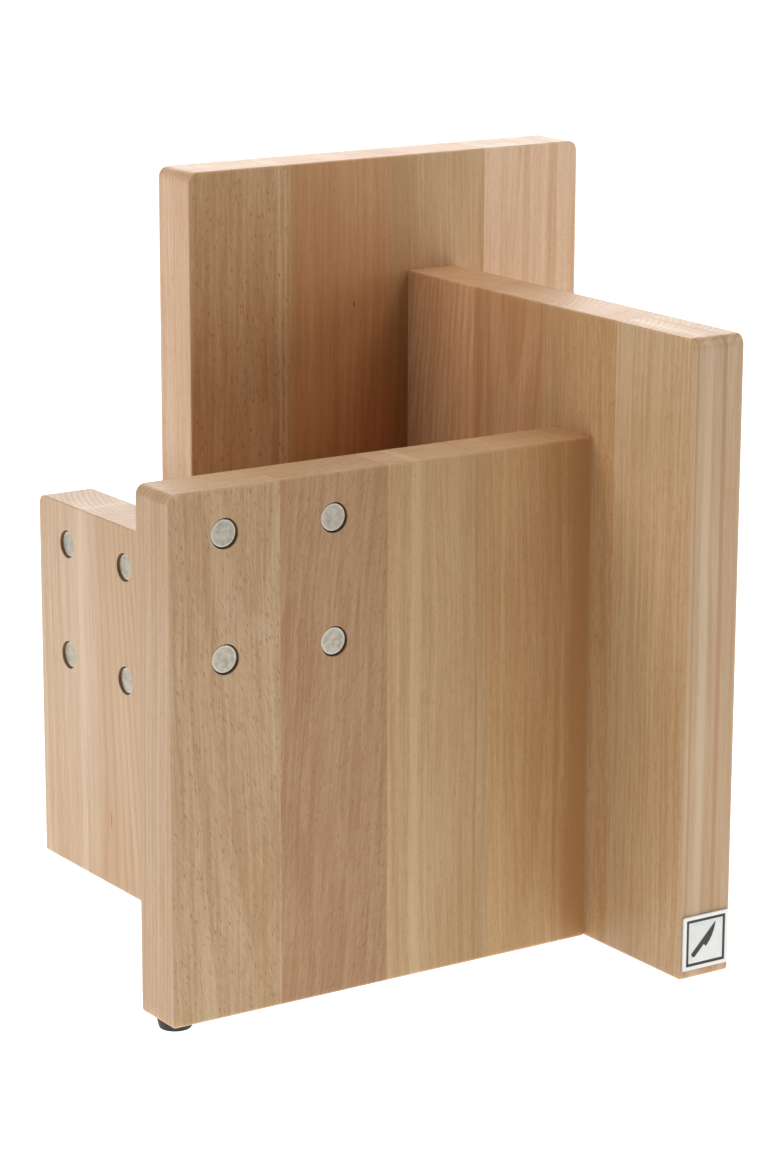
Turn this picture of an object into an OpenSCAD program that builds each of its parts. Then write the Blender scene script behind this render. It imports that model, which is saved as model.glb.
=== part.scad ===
// Magnetic knife block: four upright beech boards glued in a pinwheel round a square, open well.
// Each board is four edge-glued staves. Disc magnets are sunk in the outer faces near the free ends.
// Origin: centre of the well, on the surface that the feet stand on. +Z is up, -Y is the front.

/* [Boards] */
// Width of every board, from its free end to the end that is glued to the next board
board_w = 200; // [180:5:220]
// Thickness of every board
board_t = 25; // [22:1:30]
// Height of the front board
front_h = 215; // [200:5:240]
// Height of the right board
right_h = 265; // [250:5:290]
// Height of the back board
back_h = 315; // [300:5:340]
// Height of the left board
left_h = 165; // [150:5:190]
// Clear width of the square well between the boards
well_w = 110; // [90:5:115]
// Number of staves glued side by side in a board
stave_count = 4; // [4:1:4]

/* [Edges] */
// Radius of the upright arrises at the boards' open ends and of the top arrises
edge_r = 0.7; // [0.4:0.1:1.5]
// Radius of the top corner at a board's open end
corner_r = 4.5; // [2:0.5:8]
// Radius of the bottom arrises
bottom_r = 1.6; // [0.5:0.1:2]

/* [Magnets] */
// Diameter of a disc magnet
magnet_d = 11.5; // [8:0.5:14]
// Thickness of a disc magnet
magnet_t = 5; // [3:0.5:6]
// Chamfer round both faces of a magnet
magnet_chamfer = 0.4; // [0.2:0.1:0.6]
// Radial room for glue between a magnet and its bore
magnet_gap = 0.4; // [0.2:0.1:0.8]
// How far the face of a magnet lies below the board's face
magnet_recess = 1; // [0.5:0.1:1.5]
// Height of the board's top above the centres of the upper magnets
magnet_drop = 18; // [16:1:25]
// Distance from one magnet's centre to the next one's, across and down
magnet_pitch = 50; // [45:5:50]

/* [Dowels] */
// Diameter of the dowels that hold each board's end to the next board
dowel_d = 8; // [6:1:8]
// Length of a dowel
dowel_len = 40; // [36:1:42]
// Length of a dowel that lies in the face of the next board
dowel_in_face = 15; // [10:1:15]
// Number of dowels in each joint
dowel_count = 3; // [2:1:4]
// Distance from the joint's top and bottom to the outer dowels
dowel_margin = 32; // [25:1:40]

/* [Feet] */
// Diameter of a foot where it is stuck to the board
foot_d = 15; // [12:1:16]
// Diameter of a foot's flat bottom
foot_tip_d = 14; // [9:1:14]
// Height of a foot
foot_h = 4; // [2:0.5:4]
// Distance from the free ends of the front and back boards to the centres of their feet
foot_inset_near = 8; // [8:1:12]
// Distance from the free ends of the right and left boards to the centres of their feet
foot_inset_far = 90; // [80:1:100]

/* [Badge] */
// Width and height of the badge plate
badge_w = 23; // [16:1:23]
// Thickness of the badge plate
badge_t = 1; // [0.8:0.1:1.5]
// Height of the badge's lower edge above the board's bottom
badge_z = 4; // [3:1:20]
// Distance from the plate's edge to the dark frame line
frame_margin = 1.6; // [1:0.1:3]
// Width of the dark frame line
frame_line = 1.2; // [0.5:0.05:1.2]
// Depth of the dark inlay
inlay_t = 0.3; // [0.2:0.1:0.5]

/* [Hidden] */
$fn = 96;
SIDES = ["front", "right", "back", "left"];
HEIGHTS = [front_h, right_h, back_h, left_h];
FOOT_INSETS = [foot_inset_near, foot_inset_far, foot_inset_near, foot_inset_far];
SIDE_INDEX = [0, 1, 2, 3];
STAVE_INDEX = [0 : stave_count - 1];
MAGNET_INDEX = [0, 1, 2, 3];
BADGE_SIDE = 1;

stave_w = board_w / stave_count;
max_h = max(HEIGHTS);
// A cut runs this far past the surface that it starts from
over = 1;
// Room for glue round a dowel and at each of its ends
glue_gap = 0.1;
dowel_bore_d = dowel_d + 2 * glue_gap;
dowel_chamfer = 0.8;
magnet_bore_d = magnet_d + 2 * magnet_gap;
magnet_bore_depth = magnet_recess + magnet_t;
// Magnets sit in the middle of the first two staves, counted from the free end
magnet_x = stave_w / 2;
// The previous board's end meets this board's inner face here, measured from the free end
joint_x = board_w - well_w - board_t / 2;
face_stave = floor(joint_x / stave_w);
end_stave = stave_count - 1;
// The badge's mark is a plain knife that lies on the plate's diagonal
blade_len = 10.5;
blade_w = 3.8;
blade_arc_r = (blade_len * blade_len + blade_w * blade_w) / (2 * blade_w);
handle_len = 7.5;
handle_w = 2.3;
handle_end_r = 0.9;
handle_lap = 0.3;
badge_corner_r = 0.6;

// Height of the joint where board k's end meets the next board: the lower of the two
function joint_h(k) = min(HEIGHTS[k], HEIGHTS[(k + 1) % 4]);
// Height of dowel j's axis in the joint at the end of board k
function dowel_z(k, j) = dowel_margin + j * (joint_h(k) - 2 * dowel_margin) / (dowel_count - 1);

// Rectangle with its corner at the origin and a radius for each of its corners: lower left, lower right,
// upper right and upper left
module rounded_rect(w, h, radii) {
    corners = [[0, 0], [w, 0], [w, h], [0, h]];
    difference() {
        square([w, h]);
        for (i = [0 : 3]) if (radii[i] > 0)
            translate(corners[i]) rotate(90 * i) difference() {
                translate([-over, -over]) square(radii[i] + over);
                translate([radii[i], radii[i]]) circle(radii[i]);
            }
    }
}

// Moves from a board's own frame to the part's frame. In a board's own frame X runs from the free end
// to the glued end, Y from the outer face to the inner face, and Z up from the board's bottom.
module place_board(k) {
    rotate([0, 0, 90 * k])
        translate([well_w / 2 - board_w, -well_w / 2 - board_t, foot_h])
            children();
}

// The whole of board k. Its edges are eased and its top corner at the free end is rounded. The glued end
// is the same where it stands higher than the next board, and is cut square to fit where it doesn't.
module board_blank(k) {
    h = HEIGHTS[k];
    open_end = h > HEIGHTS[(k + 1) % 4];
    end_ease = open_end ? edge_r : 0;
    end_corner = open_end ? corner_r : edge_r;
    intersection() {
        linear_extrude(h) rounded_rect(board_w, board_t, [edge_r, end_ease, end_ease, edge_r]);
        translate([0, board_t, 0]) rotate([90, 0, 0])
            linear_extrude(board_t) rounded_rect(board_w, h, [bottom_r, bottom_r, end_corner, corner_r]);
        rotate([90, 0, 90])
            linear_extrude(board_w) rounded_rect(board_t, h, [bottom_r, bottom_r, edge_r, edge_r]);
    }
}

// Blind bores for the two magnets of stave i, from the outer face
module magnet_bores(h, i) {
    for (row = [0, 1])
        translate([i * stave_w + magnet_x, magnet_bore_depth, h - magnet_drop - row * magnet_pitch])
            rotate([90, 0, 0]) cylinder(h = magnet_bore_depth + over, d = magnet_bore_d);
}

// Blind bores in board k's glued end
module end_bores(k) {
    depth = dowel_len - dowel_in_face + glue_gap;
    for (j = [0 : dowel_count - 1])
        translate([board_w - depth, board_t / 2, dowel_z(k, j)])
            rotate([0, 90, 0]) cylinder(h = depth + over, d = dowel_bore_d);
}

// Blind bores in board k's inner face, for the dowels of the board before it
module face_bores(k) {
    depth = dowel_in_face + glue_gap;
    for (j = [0 : dowel_count - 1])
        translate([joint_x, board_t + over, dowel_z((k + 3) % 4, j)])
            rotate([90, 0, 0]) cylinder(h = depth + over, d = dowel_bore_d);
}

// Stave i of board k, counted from the free end
module stave(k, i) {
    color("burlywood") place_board(k) difference() {
        intersection() {
            board_blank(k);
            translate([i * stave_w, 0, 0]) cube([stave_w, board_t, max_h]);
        }
        if (i < 2) magnet_bores(HEIGHTS[k], i);
        if (i == face_stave) face_bores(k);
        if (i == end_stave) end_bores(k);
    }
}

// Magnet m of board k: 0 and 1 are the upper row and 2 and 3 the lower row, from the free end
module magnet(k, m) {
    r = magnet_d / 2;
    c = magnet_chamfer;
    x = magnet_x + (m % 2) * magnet_pitch;
    z = HEIGHTS[k] - magnet_drop - floor(m / 2) * magnet_pitch;
    color("silver") place_board(k) translate([x, magnet_bore_depth, z]) rotate([90, 0, 0])
        rotate_extrude()
            polygon([[0, 0], [r - c, 0], [r, c], [r, magnet_t - c], [r - c, magnet_t], [0, magnet_t]]);
}

// The dowels of the joint at the end of board k
module joint_dowels(k) {
    r = dowel_d / 2;
    c = dowel_chamfer;
    color("tan") place_board(k) for (j = [0 : dowel_count - 1])
        translate([board_w + dowel_in_face - dowel_len, board_t / 2, dowel_z(k, j)]) rotate([0, 90, 0])
            rotate_extrude()
                polygon([[0, 0], [r - c, 0], [r, c], [r, dowel_len - c], [r - c, dowel_len], [0, dowel_len]]);
}

// The rubber foot under board k, near its free end
module foot(k) {
    tip_r = foot_tip_d / 2;
    color("dimgray") place_board(k) translate([FOOT_INSETS[k], board_t / 2, -foot_h])
        rotate_extrude()
            polygon([[0, 0], [tip_r, 0], [foot_d / 2, foot_h], [0, foot_h]]);
}

// Moves to the badge's lower left corner on the right board's free end, with +Z out of the end
module place_badge() {
    place_board(BADGE_SIDE)
        translate([0, (board_t + badge_w) / 2, badge_z]) rotate([90, 0, -90])
            children();
}

// Plain knife outline, centred on its length, with its blade to the right and its edge down
module knife_outline() {
    translate([(handle_len - handle_lap - blade_len) / 2, blade_w / 2]) {
        intersection() {
            translate([0, -blade_w]) square([blade_len, blade_w]);
            translate([0, blade_arc_r - blade_w]) circle(blade_arc_r, $fn = 4 * $fn);
        }
        translate([handle_lap - handle_len, -handle_w])
            rounded_rect(handle_len, handle_w, [for (i = [0 : 3]) handle_end_r]);
    }
}

// The dark lines and mark of the badge, flat
module inlay_outline() {
    frame_w = badge_w - 2 * frame_margin;
    translate([frame_margin, frame_margin]) difference() {
        square(frame_w);
        translate([frame_line, frame_line]) square(frame_w - 2 * frame_line);
    }
    translate([badge_w / 2, badge_w / 2]) rotate(45) knife_outline();
}

module badge_plate() {
    color("whitesmoke") place_badge() difference() {
        linear_extrude(badge_t) rounded_rect(badge_w, badge_w, [for (i = [0 : 3]) badge_corner_r]);
        translate([0, 0, badge_t - inlay_t]) linear_extrude(inlay_t + over) inlay_outline();
    }
}

module badge_inlay() {
    color("black") place_badge()
        translate([0, 0, badge_t - inlay_t]) linear_extrude(inlay_t) inlay_outline();
}

for (k = SIDE_INDEX, i = STAVE_INDEX)
    stave(k, i);
for (k = SIDE_INDEX, m = MAGNET_INDEX)
    magnet(k, m);
for (k = SIDE_INDEX)
    joint_dowels(k);
for (k = SIDE_INDEX)
    foot(k);
badge_plate();
badge_inlay();
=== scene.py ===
"""Magnetic knife block: four beech boards in a pinwheel, with magnets, badge and rubber feet."""

import math

import bmesh
import bpy
import numpy as np
from mathutils import Matrix, Vector


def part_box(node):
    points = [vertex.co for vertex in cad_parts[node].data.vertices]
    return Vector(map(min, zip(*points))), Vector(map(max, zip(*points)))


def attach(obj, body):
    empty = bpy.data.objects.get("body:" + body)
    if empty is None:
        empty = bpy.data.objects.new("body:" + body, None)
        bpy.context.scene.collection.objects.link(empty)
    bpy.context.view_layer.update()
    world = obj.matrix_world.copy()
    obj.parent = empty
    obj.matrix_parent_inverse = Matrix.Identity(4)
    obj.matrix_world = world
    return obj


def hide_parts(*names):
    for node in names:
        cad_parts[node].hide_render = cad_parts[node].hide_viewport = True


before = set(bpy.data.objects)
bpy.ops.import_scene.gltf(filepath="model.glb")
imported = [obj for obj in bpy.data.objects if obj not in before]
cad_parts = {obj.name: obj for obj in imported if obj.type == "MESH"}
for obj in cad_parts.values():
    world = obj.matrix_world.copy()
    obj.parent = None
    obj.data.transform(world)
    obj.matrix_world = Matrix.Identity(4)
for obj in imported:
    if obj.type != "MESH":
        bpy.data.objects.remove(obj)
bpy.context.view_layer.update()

MM = 0.001
SIDES = ("front", "right", "back", "left")
STAVES = 4
MAGNETS = 4
DOWELS = 3
BODY = "root"


# ---------------------------------------------------------------- meshes

def grid_quads(rows, columns):
    """Corner numbers of the quads of a grid of points that are numbered row by row."""
    first = (np.arange(rows - 1)[:, None] * columns + np.arange(columns - 1)).ravel()
    return np.stack([first, first + 1, first + columns + 1, first + columns], axis=1)


def grid_patch(points, keep=None):
    """A patch from points on a grid (rows, columns, 3). keep is a mask of the cells that stay."""
    rows, columns = points.shape[:2]
    quads = grid_quads(rows, columns)
    if keep is not None:
        quads = quads[keep.ravel()]
    return points.reshape(-1, 3), quads


def joined(patches):
    """One set of points and faces from many patches: points closer than a tenth of a micron become
    one, and a quad that has lost a corner that way becomes a triangle."""
    starts = np.cumsum([0] + [len(points) for points, _ in patches[:-1]])
    points = np.concatenate([points for points, _ in patches])
    quads = np.concatenate([quads + start for (_, quads), start in zip(patches, starts)])
    _, first, same = np.unique(np.round(points, 7), axis=0, return_index=True, return_inverse=True)
    quads = same.ravel()[quads]
    used, quads = np.unique(quads, return_inverse=True)
    quads = quads.reshape(-1, 4)
    points = points[first[used]]
    doubled = quads == np.roll(quads, -1, axis=1)
    whole = quads[~doubled.any(axis=1)]
    pinched = quads[doubled.sum(axis=1) == 1]
    corners = pinched[~doubled[doubled.sum(axis=1) == 1]].reshape(-1, 3)
    return points, whole.tolist() + corners.tolist()


def make_piece(name, patches, replaced, finish, place=None, sharp_over=35.0, marks=None):
    """A finished piece: the patches joined into one closed shell, moved to the block's frame by place,
    with faces outwards, smooth shading and sharp edges where faces turn by more than sharp_over."""
    points, faces = joined(patches)
    marks = {word: rule(points) for word, rule in (marks or {}).items()}
    if place is not None:
        points = place(points)
    mesh = bpy.data.meshes.new(name)
    mesh.from_pydata(points.tolist(), [], faces)
    for word, values in marks.items():
        mesh.attributes.new(word, "FLOAT", "POINT").data.foreach_set("value", values.astype(np.float32))
    work = bmesh.new()
    work.from_mesh(mesh)
    bmesh.ops.recalc_face_normals(work, faces=work.faces)
    work.to_mesh(mesh)
    work.free()
    mesh.shade_smooth()
    mesh.set_sharp_from_angle(angle=math.radians(sharp_over))
    mesh.materials.append(finish)
    piece = bpy.data.objects.new(name, mesh)
    bpy.context.scene.collection.objects.link(piece)
    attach(piece, BODY)
    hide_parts(*replaced)


def stops(low, high, blocks=(), cuts=(), fine=1.0 * MM, coarse=4.0 * MM):
    """Grid positions from low to high: cells of about fine in each block (low, high) and about coarse
    elsewhere, with a position at every cut and at every block's edge."""
    edges = np.unique(np.round([low, high, *cuts, *np.ravel(blocks)], 7))
    parts = []
    for a, b in zip(edges[:-1], edges[1:]):
        inside = any(start - 1e-6 <= a and b <= end + 1e-6 for start, end in blocks)
        count = max(1, round((b - a) / (fine if inside else coarse)))
        parts.append(np.linspace(a, b, count + 1)[:-1])
    return np.append(np.concatenate(parts), edges[-1])


def arc(first, last, count):
    """Sines and cosines of count + 1 angles from first to last, in degrees."""
    angles = np.radians(np.linspace(first, last, count + 1))
    return np.sin(angles), np.cos(angles)


def turned(profile, count=72):
    """A turned shape: each (radius, height) of the profile is carried round the Z axis."""
    profile = np.asarray(profile, float)
    angles = np.linspace(0, 2 * np.pi, count + 1)
    points = np.empty((len(profile), count + 1, 3))
    points[..., 0] = profile[:, :1] * np.cos(angles)
    points[..., 1] = profile[:, :1] * np.sin(angles)
    points[..., 2] = profile[:, 1:]
    points[:, -1] = points[:, 0]
    return grid_patch(points)


def rounded_profile(corners, steps=5):
    """A profile of (radius, height) from corners (radius, height, rounding): each corner with a
    rounding becomes an arc of that radius that touches both straight lines."""
    corners = np.asarray(corners, float)
    out = []
    for n, (r, h, rounding) in enumerate(corners):
        here = np.array([r, h])
        if rounding == 0:
            out.append(here[None])
            continue
        back = corners[n - 1, :2] - here
        ahead = corners[n + 1, :2] - here
        back, ahead = back / np.linalg.norm(back), ahead / np.linalg.norm(ahead)
        half = math.acos(np.clip(back @ ahead, -1, 1)) / 2
        middle = here + (back + ahead) / np.linalg.norm(back + ahead) * rounding / math.sin(half)
        start = here + back * rounding / math.tan(half) - middle
        end = here + ahead * rounding / math.tan(half) - middle
        share = np.linspace(0, 1, steps + 1)[:, None]
        swing = math.pi - 2 * half
        blend = (np.sin((1 - share) * swing) * start + np.sin(share * swing) * end) / math.sin(swing)
        out.append(middle + blend)
    return np.concatenate(out)


# ---------------------------------------------------------------- boards

# Radii of the arrises, of the open ends' top corners and of the bottom arrises
EDGE_R = 0.7 * MM
CORNER_R = 4.5 * MM
BOTTOM_R = 1.6 * MM
# A row of points this far beside each rounding keeps the flat faces flat
SUPPORT = 0.5 * MM
# Number of steps in each half of an upright arris
HALF_ARC = 3
# Width of the band beside an arris that the arris mark covers
ARRIS_BAND = 1.3 * MM
# Bores: glue gap, rounding of the mouth, and half the square of finer cells round the centre
BORE_GAP = 0.4 * MM
BORE_LIP = 0.18 * MM
BORE_REACH = 8 * MM
DOWEL_GAP = 0.1 * MM
DOWEL_LIP = 0.1 * MM
DOWEL_REACH = 6 * MM


class Board:
    """A board's own frame, in metres: X from its free end to its glued end, Y from its outer face to
    its inner face, and Z up from its bottom."""

    def __init__(self, side):
        turn = SIDES.index(side)
        boxes = np.array([[*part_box(f"{side}_stave_{n + 1}")] for n in range(STAVES)])
        low, high = boxes[:, 0].min(axis=0), boxes[:, 1].max(axis=0)
        size = high - low
        self.side = side
        self.turn = math.pi / 2 * turn
        self.width, self.thickness = max(size[:2]), min(size[:2])
        self.height = size[2]
        self.open_end = False
        self.stave = self.width / STAVES
        self.origin = np.array([
            low[0] if turn in (0, 3) else high[0],
            low[1] if turn in (0, 1) else high[1],
            low[2],
        ])
        self.turned = np.round(np.array(Matrix.Rotation(self.turn, 3, "Z")))

    def to_block(self, points):
        return self.origin + points @ self.turned.T

    def from_block(self, points):
        return (np.asarray(points) - self.origin) @ self.turned

    def node_box(self, node):
        """Lowest and highest corner of a CAD node in the board's own frame."""
        ends = self.from_block(np.array([[*corner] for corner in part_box(node)]))
        return ends.min(axis=0), ends.max(axis=0)


class Bore:
    """A blind round bore in one side of a stave: which side, the centre's two places along that side,
    the radius, depth and lip rounding, and half the square of finer cells round it."""

    def __init__(self, side, across, up, radius, depth, lip, reach):
        self.side, self.across, self.up = side, across, up
        self.radius, self.depth, self.lip, self.reach = radius, depth, lip, reach


def bore_patch(loop, centre, inwards, bore):
    """The surface from a square loop of grid points into the bore: straight in from the loop to the
    rounded lip, round it, down the wall and across the bottom to its centre."""
    away = loop - centre
    distance = np.linalg.norm(away, axis=1)
    away = away / distance[:, None]
    mouth = bore.radius + bore.lip
    share = np.linspace(0, 1, 6)[:-1, None] ** 0.8
    spread = distance + (mouth - distance) * share
    sines, cosines = arc(0, 90, 4)
    lip_r = bore.radius + bore.lip * (1 - sines)
    lip_d = bore.lip * (1 - cosines)
    wall_d = np.linspace(bore.lip, bore.depth, 5)[1:]
    floor_r = bore.radius * np.linspace(1, 0, 5)[1:]
    radii = np.concatenate([lip_r, np.full(len(wall_d), bore.radius), floor_r])
    depths = np.concatenate([np.zeros(len(spread)), lip_d, wall_d, np.full(len(floor_r), bore.depth)])
    spread = np.concatenate([spread, np.repeat(radii[:, None], len(loop), axis=1)])
    points = centre + spread[..., None] * away + depths[:, None, None] * inwards
    points = np.concatenate([points, points[:, :1]], axis=1)
    return grid_patch(points)


def bored_side(points, across, up, bores, inwards):
    """A side's grid (up, across, 3) with a square block of cells taken out round each bore, and the
    bore's own surface in its place."""
    keep = np.ones((len(up) - 1, len(across) - 1), bool)
    patches = []
    for bore in bores:
        a0, a1 = (np.argmin(abs(across - v)) for v in (bore.across - bore.reach, bore.across + bore.reach))
        u0, u1 = (np.argmin(abs(up - v)) for v in (bore.up - bore.reach, bore.up + bore.reach))
        keep[u0:u1, a0:a1] = False
        loop = np.concatenate([
            points[u0, a0:a1], points[u0:u1, a1], points[u1, a1:a0:-1], points[u1:u0:-1, a0],
        ])
        centre = (points[u0, a0] + points[u1, a1]) / 2
        patches.append(bore_patch(loop, centre, np.array(inwards), bore))
    return [grid_patch(points, keep), *patches]


def height_levels(height, corner, bores):
    """Grid heights from the bottom to the top of a board, close together in the arcs of the bottom,
    corner and edge radii and beside the bores."""
    below, _ = arc(90, 0, 5)
    near_top, _ = arc(0, 90, 9)
    at_top, _ = arc(0, 90, 5)
    cuts = (BOTTOM_R + SUPPORT, height - corner - SUPPORT, height - EDGE_R - SUPPORT)
    blocks = [(bore.up - bore.reach, bore.up + bore.reach) for bore in bores]
    z = np.concatenate([
        BOTTOM_R * (1 - below), stops(BOTTOM_R, height - corner, blocks, cuts[:2]), cuts[2:],
        height - corner * (1 - near_top), height - EDGE_R * (1 - at_top),
    ])
    z = np.unique(np.round(z, 7))
    z[-1] = height
    return z


def drawn_in(z, height, radius):
    """How far an outline is drawn in at each height: a quarter circle of the radius at the top and one
    of the bottom radius at the bottom."""
    from_top = np.clip(z - (height - radius), 0, radius)
    from_bottom = np.clip(BOTTOM_R - z, 0, BOTTOM_R)
    inset = radius + BOTTOM_R - np.sqrt(radius**2 - from_top**2) - np.sqrt(BOTTOM_R**2 - from_bottom**2)
    return inset[:, None]


def stave_patches(board, number, bores):
    """One stave: a box of six grids. Each level is a rectangle, drawn in at the top and bottom arrises.
    An open end's upright arrises are quarter circles, halved between the end's grid and the faces'.
    Between staves and where an end is glued over its whole height it is cut straight."""
    thickness, height = board.thickness, board.height
    x0, x1 = number * board.stave, (number + 1) * board.stave
    at_free, at_glued = number == 0, number == STAVES - 1
    ease_0 = EDGE_R if at_free else 0.0
    ease_1 = EDGE_R if at_glued and board.open_end else 0.0
    ease = ease_0 + ease_1
    z = height_levels(height, CORNER_R if ease else EDGE_R, bores)
    edge_in = drawn_in(z, height, EDGE_R)
    corner_in = drawn_in(z, height, CORNER_R)
    in_0 = corner_in if at_free else 0 * edge_in
    in_1 = (corner_in if ease_1 else edge_in) if at_glued else 0 * edge_in

    def blocks(*sides):
        return [(b.across - b.reach, b.across + b.reach) for b in bores if b.side in sides]

    def spread(flat, low, high):
        return low + (high - low) * (flat - flat[0]) / (flat[-1] - flat[0])

    # Flat parts of the faces and sides, then the arcs beside them
    flat_x = stops(x0 + ease_0, x1 - ease_1, blocks("outer", "inner"),
                   (x0 + EDGE_R + SUPPORT, x1 - EDGE_R - SUPPORT))
    flat_y = stops(ease, thickness - ease, blocks("end"), (EDGE_R + SUPPORT, thickness - EDGE_R - SUPPORT))
    face_x = spread(flat_x, x0 + in_0 + ease_0, x1 - in_1 - ease_1)
    face_y = np.repeat(edge_in, len(flat_x), axis=1)
    plain_y = spread(flat_y, edge_in + ease, thickness - edge_in - ease)
    bent_x, bent_y = np.zeros_like(plain_y), plain_y
    if ease:
        sines, cosines = arc(45, 0, HALF_ARC)
        arc_x, arc_y = ease * (1 - sines[:-1]), edge_in + ease * (1 - cosines[:-1])
        if at_free:
            face_x, face_y = np.hstack([in_0 + arc_x, face_x]), np.hstack([arc_y, face_y])
        else:
            face_x = np.hstack([face_x, x1 - in_1 - arc_x[::-1]])
            face_y = np.hstack([face_y, arc_y[:, ::-1]])
        sines, cosines = arc(45, 90, HALF_ARC)
        arc_x = np.broadcast_to(ease * (1 - sines[:-1]), (len(z), HALF_ARC))
        arc_y = edge_in + ease * (1 - cosines[:-1])
        corner_y = edge_in + ease * np.arange(HALF_ARC) / HALF_ARC
        bent_x = np.hstack([arc_x, bent_x, arc_x[:, ::-1]])
        bent_y = np.hstack([arc_y, bent_y, thickness - arc_y[:, ::-1]])
        plain_y = np.hstack([corner_y, plain_y, thickness - corner_y[:, ::-1]])

    def grid(x, y):
        return np.stack(np.broadcast_arrays(x, y, z[:, None]), axis=-1)

    outer, inner = grid(face_x, face_y), grid(face_x, thickness - face_y)
    side_0 = grid(x0 + in_0 + bent_x, bent_y) if ease_0 else grid(x0 + in_0, plain_y)
    side_1 = grid(x1 - in_1 - bent_x, bent_y) if ease_1 else grid(x1 - in_1, plain_y)

    def cap(level):
        """Blends the four edge lines of a level into a flat grid (a Coons patch)."""
        f, b, l, r = outer[level], inner[level], side_0[level], side_1[level]
        u = ((f[:, 0] - f[0, 0]) / (f[-1, 0] - f[0, 0]))[None, :, None]
        v = ((r[:, 1] - r[0, 1]) / (r[-1, 1] - r[0, 1]))[:, None, None]
        lines = (1 - v) * f[None] + v * b[None] + (1 - u) * l[:, None] + u * r[:, None]
        corners = (1 - u) * (1 - v) * f[0] + u * (1 - v) * f[-1] + (1 - u) * v * b[0] + u * v * b[-1]
        return grid_patch(lines - corners)

    def bored(side, points, inwards):
        middle = points[len(z) // 2]
        across = middle[:, 1] if side == "end" else middle[:, 0]
        return bored_side(points, across, z, [bore for bore in bores if bore.side == side], inwards)

    return [
        *bored("outer", outer, (0, 1, 0)), *bored("inner", inner, (0, -1, 0)),
        *bored("end", side_1, (-1, 0, 0)), grid_patch(side_0), cap(0), cap(-1),
    ]


def magnet_bores(board, number):
    """Bores for the magnets of one stave, each a little wider than its magnet."""
    found = []
    for n in range(MAGNETS):
        low, high = board.node_box(f"{board.side}_magnet_{n + 1}")
        middle = (low + high) / 2
        if int(middle[0] // board.stave) == number:
            radius = (high[0] - low[0]) / 2 + BORE_GAP
            found.append(Bore("outer", middle[0], middle[2], radius, high[1], BORE_LIP, BORE_REACH))
    return found


def dowel_axes(board, node):
    """A joint's dowels in the board's own frame: the group's box, and the rods' radius and heights."""
    low, high = board.node_box(node)
    radius = min(high[0] - low[0], high[1] - low[1]) / 2
    heights = np.linspace(low[2] + radius, high[2] - radius, DOWELS)
    return low, high, radius, heights


def dowel_bores(board, number):
    """Bores for the dowels in the stave at the glued end, and in the stave that the board before it
    is glued to."""
    found = []

    def bore(side, across, up, radius, depth):
        found.append(Bore(side, across, up, radius + DOWEL_GAP, depth + DOWEL_GAP, DOWEL_LIP, DOWEL_REACH))

    if number == STAVES - 1:
        low, high, radius, heights = dowel_axes(board, f"{board.side}_joint_dowels")
        for h in heights:
            bore("end", board.thickness / 2, h, radius, board.width - low[0])
    before = SIDES[SIDES.index(board.side) - 1]
    low, high, radius, heights = dowel_axes(board, f"{before}_joint_dowels")
    x = (low[0] + high[0]) / 2
    if int(x // board.stave) == number:
        for h in heights:
            bore("inner", x, h, radius, board.thickness - low[1])
    return found


def arris_rule(board):
    """How far round an arris a point lies: 0 on the flat faces and about 0.7 at the middle of an edge,
    from the second nearest of the board's three pairs of faces."""
    size = np.array([board.width, board.thickness, board.height])

    def rule(points):
        near = np.sort(np.minimum(points, size - points), axis=1)
        return np.clip(1 - near[:, 1] / ARRIS_BAND, 0, 1)

    return rule


def end_rule(board):
    """1 on the board's two upright end faces and their rounded top corners, falling to 0 round the
    other arrises."""

    def rule(points):
        corner_in = drawn_in(points[:, 2], board.height, CORNER_R)[:, 0]
        glued_in = corner_in if board.open_end else 0 * corner_in
        away = np.minimum(points[:, 0] - corner_in, board.width - glued_in - points[:, 0])
        return np.clip(1 - away / EDGE_R, 0, 1)

    return rule


def cut_rule(board):
    """1 on the top and bottom, where the fibres are cut across, falling to 0 round their arrises and
    down the rounded top corners."""

    def rule(points):
        away = np.minimum(points[:, 2], board.height - points[:, 2])
        at_open = (points[:, 0] < CORNER_R) | (board.open_end & (points[:, 0] > board.width - CORNER_R))
        fade = np.where(at_open, 0.8 * CORNER_R, EDGE_R)
        return np.clip(1 - away / fade, 0, 1)

    return rule


def bored_rule(board, bores):
    """1 on the walls and bottoms of the bores in the outer face, 0 elsewhere."""

    def rule(points):
        depth = points[:, 1]
        inside = np.zeros(len(points), bool)
        for bore in bores:
            if bore.side == "outer":
                off = np.hypot(points[:, 0] - bore.across, points[:, 2] - bore.up)
                deep = (depth > 0.1 * MM) & (depth < bore.depth + MM)
                inside |= (off < bore.radius + 0.02 * MM) & deep
        return inside.astype(float)

    return rule


# ---------------------------------------------------------------- finishes

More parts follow.
